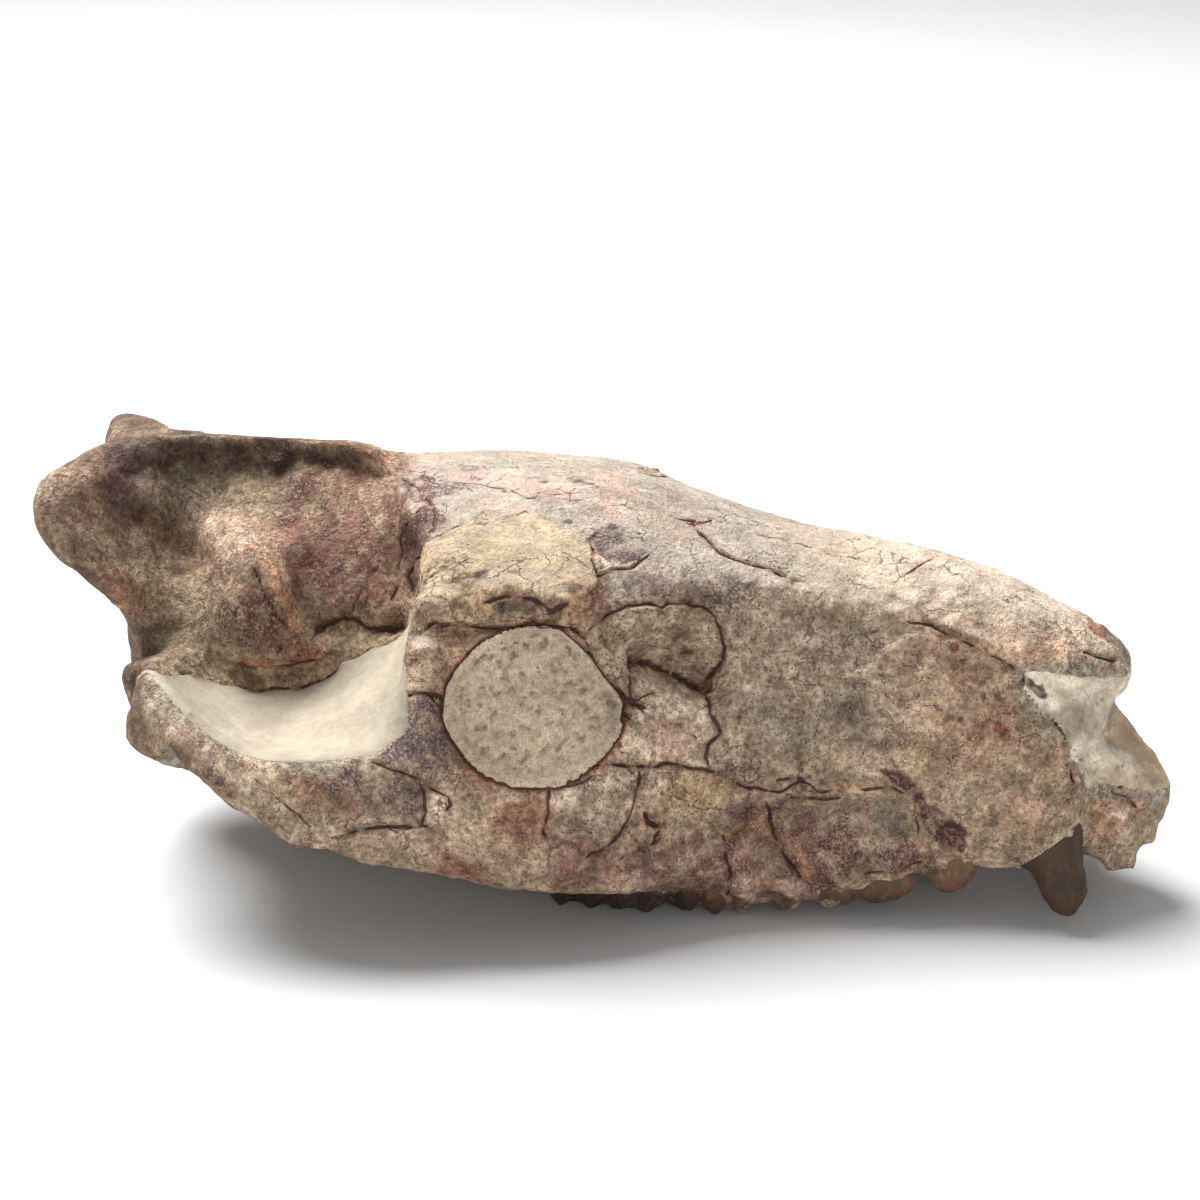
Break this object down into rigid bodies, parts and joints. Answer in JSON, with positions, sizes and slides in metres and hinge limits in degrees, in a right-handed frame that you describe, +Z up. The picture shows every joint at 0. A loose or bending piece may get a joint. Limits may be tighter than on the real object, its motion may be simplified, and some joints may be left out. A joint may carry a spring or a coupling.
{
  "type": "fossil oreodont skull",
  "caption": "Fossil skull of an oreodont without its lower jaw, with matrix in orbits and nose and plaster in the temporal openings, resting on its molars.",
  "frame": {"origin": "middle of the bounding box in X and Y, at the floor that the skull rests on", "axes": "+X along the snout, +Y to the animal's left, +Z up"},
  "size_m": [0.2114, 0.119, 0.0797],
  "materials": {
    "bone": "matte",
    "red_bone": "matte",
    "grey_bone": "matte",
    "matrix": "matte",
    "plaster": "matte"
  },
  "bodies": {
    "root": {"braincase": "red_bone", "cheekbone_left": "grey_bone", "cheekbone_right": "grey_bone", "frontals": "bone", "maxilla_left": "bone", "maxilla_right": "bone", "nasals": "bone", "nose_matrix": "matrix", "nuchal_crest": "red_bone", "orbit_fill_left": "matrix", "orbit_fill_right": "matrix", "premaxilla": "bone", "sagittal_crest": "red_bone", "skull_base": "grey_bone", "sphenoid": "grey_bone", "temporal_fill_left": "plaster", "temporal_fill_right": "plaster", "zygomatic_arch_left": "bone", "zygomatic_arch_right": "bone"}
  },
  "joints": []
}
